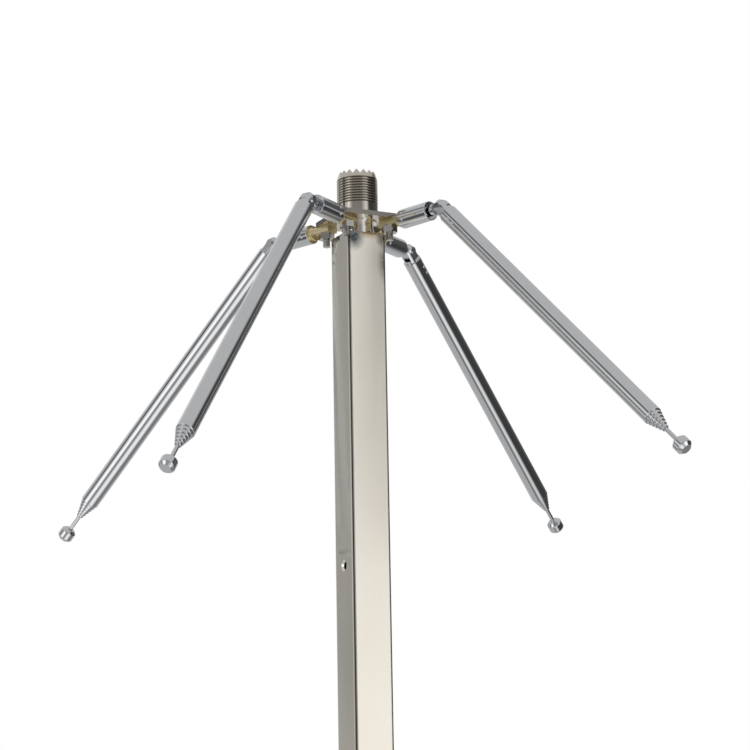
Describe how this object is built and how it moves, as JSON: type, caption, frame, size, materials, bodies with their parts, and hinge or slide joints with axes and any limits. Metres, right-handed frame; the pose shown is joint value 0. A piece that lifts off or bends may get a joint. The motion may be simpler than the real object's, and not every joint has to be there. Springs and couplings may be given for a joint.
{
  "type": "broadband receiving antenna",
  "caption": "Square steel mast carrying a threaded coaxial socket, with telescopic whips that swivel and fold on brass studs clamped under the socket's flange.",
  "frame": {"origin": "centre of the socket flange's top face, on the socket's axis", "axes": "+Z along the socket's axis, away from the mast; the mast's faces look along X and Y"},
  "size_m": [0.2472, 0.2632, 0.2757],
  "materials": {
    "stainless": "brushed stainless, worn",
    "nickel": "nickel plate, warm grey",
    "chrome": "bright chrome plate",
    "brass": "turned brass",
    "plated_steel": "bright zinc plate",
    "insulation": "turned fluoropolymer",
    "washer": "hard fibre"
  },
  "bodies": {
    "hub": {"mast": "stainless", "mast_plug": "stainless", "socket_body": "nickel", "socket_insulator": "insulation", "socket_contact": "brass", "flange_screws": "plated_steel", "flange_nuts": "plated_steel", "friction_washers": "washer", "stud_front_left": "brass", "sleeve_front_left": "chrome", "stud_front_right": "brass", "sleeve_front_right": "chrome", "stud_rear_right": "brass", "sleeve_rear_right": "chrome", "stud_rear_left": "brass", "sleeve_rear_left": "chrome"},
    "elbow_front_left": {"neck_front_left": "chrome"},
    "whip_front_left": {"fork_front_left": "chrome", "hinge_rivet_front_left": "chrome", "tube_1_front_left": "chrome"},
    "stage_2_front_left": {"tube_2_front_left": "chrome"},
    "stage_3_front_left": {"tube_3_front_left": "chrome"},
    "stage_4_front_left": {"tube_4_front_left": "chrome"},
    "stage_5_front_left": {"tube_5_front_left": "chrome"},
    "stage_6_front_left": {"tube_6_front_left": "chrome"},
    "tip_front_left": {"tip_rod_front_left": "chrome", "tip_button_front_left": "chrome"},
    "elbow_front_right": {"neck_front_right": "chrome"},
    "whip_front_right": {"fork_front_right": "chrome", "hinge_rivet_front_right": "chrome", "tube_1_front_right": "chrome"},
    "stage_2_front_right": {"tube_2_front_right": "chrome"},
    "stage_3_front_right": {"tube_3_front_right": "chrome"},
    "stage_4_front_right": {"tube_4_front_right": "chrome"},
    "stage_5_front_right": {"tube_5_front_right": "chrome"},
    "stage_6_front_right": {"tube_6_front_right": "chrome"},
    "tip_front_right": {"tip_rod_front_right": "chrome", "tip_button_front_right": "chrome"},
    "elbow_rear_right": {"neck_rear_right": "chrome"},
    "whip_rear_right": {"fork_rear_right": "chrome", "hinge_rivet_rear_right": "chrome", "tube_1_rear_right": "chrome"},
    "stage_2_rear_right": {"tube_2_rear_right": "chrome"},
    "stage_3_rear_right": {"tube_3_rear_right": "chrome"},
    "stage_4_rear_right": {"tube_4_rear_right": "chrome"},
    "stage_5_rear_right": {"tube_5_rear_right": "chrome"},
    "stage_6_rear_right": {"tube_6_rear_right": "chrome"},
    "tip_rear_right": {"tip_rod_rear_right": "chrome", "tip_button_rear_right": "chrome"},
    "elbow_rear_left": {"neck_rear_left": "chrome"},
    "whip_rear_left": {"fork_rear_left": "chrome", "hinge_rivet_rear_left": "chrome", "tube_1_rear_left": "chrome"},
    "stage_2_rear_left": {"tube_2_rear_left": "chrome"},
    "stage_3_rear_left": {"tube_3_rear_left": "chrome"},
    "stage_4_rear_left": {"tube_4_rear_left": "chrome"},
    "stage_5_rear_left": {"tube_5_rear_left": "chrome"},
    "stage_6_rear_left": {"tube_6_rear_left": "chrome"},
    "tip_rear_left": {"tip_rod_rear_left": "chrome", "tip_button_rear_left": "chrome"}
  },
  "joints": [
    {"name": "swivel_front_left", "type": "hinge", "parent": "hub", "child": "elbow_front_left", "pos_m": [-0.03281, -0.02473, -0.0032], "axis": [-0.8348, -0.5505, 0], "continuous": true},
    {"name": "fold_front_left", "type": "hinge", "parent": "elbow_front_left", "child": "whip_front_left", "pos_m": [-0.03281, -0.02473, -0.0032], "axis": [0.5505, -0.8348, -0.0052], "range_deg": [-51.9, 38.1]},
    {"name": "slide_2_front_left", "type": "slide", "parent": "whip_front_left", "child": "stage_2_front_left", "axis": [-0.5174, -0.3362, -0.7869], "range_m": [0, 0.11115]},
    {"name": "slide_3_front_left", "type": "slide", "parent": "stage_2_front_left", "child": "stage_3_front_left", "axis": [-0.5174, -0.3362, -0.7869], "range_m": [0, 0.1126]},
    {"name": "slide_4_front_left", "type": "slide", "parent": "stage_3_front_left", "child": "stage_4_front_left", "axis": [-0.5174, -0.3362, -0.7869], "range_m": [0, 0.11405]},
    {"name": "slide_5_front_left", "type": "slide", "parent": "stage_4_front_left", "child": "stage_5_front_left", "axis": [-0.5174, -0.3362, -0.7869], "range_m": [0, 0.1155]},
    {"name": "slide_6_front_left", "type": "slide", "parent": "stage_5_front_left", "child": "stage_6_front_left", "axis": [-0.5174, -0.3362, -0.7869], "range_m": [0, 0.11695]},
    {"name": "slide_tip_front_left", "type": "slide", "parent": "stage_6_front_left", "child": "tip_front_left", "axis": [-0.5174, -0.3362, -0.7869], "range_m": [0, 0.1204]},
    {"name": "swivel_front_right", "type": "hinge", "parent": "hub", "child": "elbow_front_right", "pos_m": [0.01792, -0.03609, -0.0032], "axis": [0.3107, -0.9505, 0], "continuous": true},
    {"name": "fold_front_right", "type": "hinge", "parent": "elbow_front_right", "child": "whip_front_right", "pos_m": [0.01792, -0.03609, -0.0032], "axis": [0.9426, 0.3081, 0.1288], "range_deg": [-46.8, 43.2]},
    {"name": "slide_2_front_right", "type": "slide", "parent": "whip_front_right", "child": "stage_2_front_right", "axis": [0.3019, -0.6215, -0.7229], "range_m": [0, 0.11115]},
    {"name": "slide_3_front_right", "type": "slide", "parent": "stage_2_front_right", "child": "stage_3_front_right", "axis": [0.3019, -0.6215, -0.7229], "range_m": [0, 0.1126]},
    {"name": "slide_4_front_right", "type": "slide", "parent": "stage_3_front_right", "child": "stage_4_front_right", "axis": [0.3019, -0.6215, -0.7229], "range_m": [0, 0.11405]},
    {"name": "slide_5_front_right", "type": "slide", "parent": "stage_4_front_right", "child": "stage_5_front_right", "axis": [0.3019, -0.6215, -0.7229], "range_m": [0, 0.1155]},
    {"name": "slide_6_front_right", "type": "slide", "parent": "stage_5_front_right", "child": "stage_6_front_right", "axis": [0.3019, -0.6215, -0.7229], "range_m": [0, 0.11695]},
    {"name": "slide_tip_front_right", "type": "slide", "parent": "stage_6_front_right", "child": "tip_front_right", "axis": [0.3019, -0.6215, -0.7229], "range_m": [0, 0.1204]},
    {"name": "swivel_rear_right", "type": "hinge", "parent": "hub", "child": "elbow_rear_right", "pos_m": [0.03337, 0.02385, -0.0032], "axis": [0.8545, 0.5195, 0], "continuous": true},
    {"name": "fold_rear_right", "type": "hinge", "parent": "elbow_rear_right", "child": "whip_rear_right", "pos_m": [0.03337, 0.02385, -0.0032], "axis": [-0.5195, 0.8545, 0.0017], "range_deg": [-39.3, 50.7]},
    {"name": "slide_2_rear_right", "type": "slide", "parent": "whip_rear_right", "child": "stage_2_rear_right", "axis": [0.6606, 0.403, -0.6334], "range_m": [0, 0.11115]},
    {"name": "slide_3_rear_right", "type": "slide", "parent": "stage_2_rear_right", "child": "stage_3_rear_right", "axis": [0.6606, 0.403, -0.6334], "range_m": [0, 0.1126]},
    {"name": "slide_4_rear_right", "type": "slide", "parent": "stage_3_rear_right", "child": "stage_4_rear_right", "axis": [0.6606, 0.403, -0.6334], "range_m": [0, 0.11405]},
    {"name": "slide_5_rear_right", "type": "slide", "parent": "stage_4_rear_right", "child": "stage_5_rear_right", "axis": [0.6606, 0.403, -0.6334], "range_m": [0, 0.1155]},
    {"name": "slide_6_rear_right", "type": "slide", "parent": "stage_5_rear_right", "child": "stage_6_rear_right", "axis": [0.6606, 0.403, -0.6334], "range_m": [0, 0.11695]},
    {"name": "slide_tip_rear_right", "type": "slide", "parent": "stage_6_rear_right", "child": "tip_rear_right", "axis": [0.6606, 0.403, -0.6334], "range_m": [0, 0.1204]},
    {"name": "swivel_rear_left", "type": "hinge", "parent": "hub", "child": "elbow_rear_left", "pos_m": [-0.01946, 0.03554, -0.0032], "axis": [-0.3649, 0.9311, 0], "continuous": true},
    {"name": "fold_rear_left", "type": "hinge", "parent": "elbow_rear_left", "child": "whip_rear_left", "pos_m": [-0.01946, 0.03554, -0.0032], "axis": [-0.9224, -0.3615, 0.1357], "range_deg": [-44.6, 45.4]},
    {"name": "slide_2_rear_left", "type": "slide", "parent": "whip_rear_left", "child": "stage_2_rear_left", "axis": [-0.3485, 0.6282, -0.6957], "range_m": [0, 0.11115]},
    {"name": "slide_3_rear_left", "type": "slide", "parent": "stage_2_rear_left", "child": "stage_3_rear_left", "axis": [-0.3485, 0.6282, -0.6957], "range_m": [0, 0.1126]},
    {"name": "slide_4_rear_left", "type": "slide", "parent": "stage_3_rear_left", "child": "stage_4_rear_left", "axis": [-0.3485, 0.6282, -0.6957], "range_m": [0, 0.11405]},
    {"name": "slide_5_rear_left", "type": "slide", "parent": "stage_4_rear_left", "child": "stage_5_rear_left", "axis": [-0.3485, 0.6282, -0.6957], "range_m": [0, 0.1155]},
    {"name": "slide_6_rear_left", "type": "slide", "parent": "stage_5_rear_left", "child": "stage_6_rear_left", "axis": [-0.3485, 0.6282, -0.6957], "range_m": [0, 0.11695]},
    {"name": "slide_tip_rear_left", "type": "slide", "parent": "stage_6_rear_left", "child": "tip_rear_left", "axis": [-0.3485, 0.6282, -0.6957], "range_m": [0, 0.1204]}
  ]
}
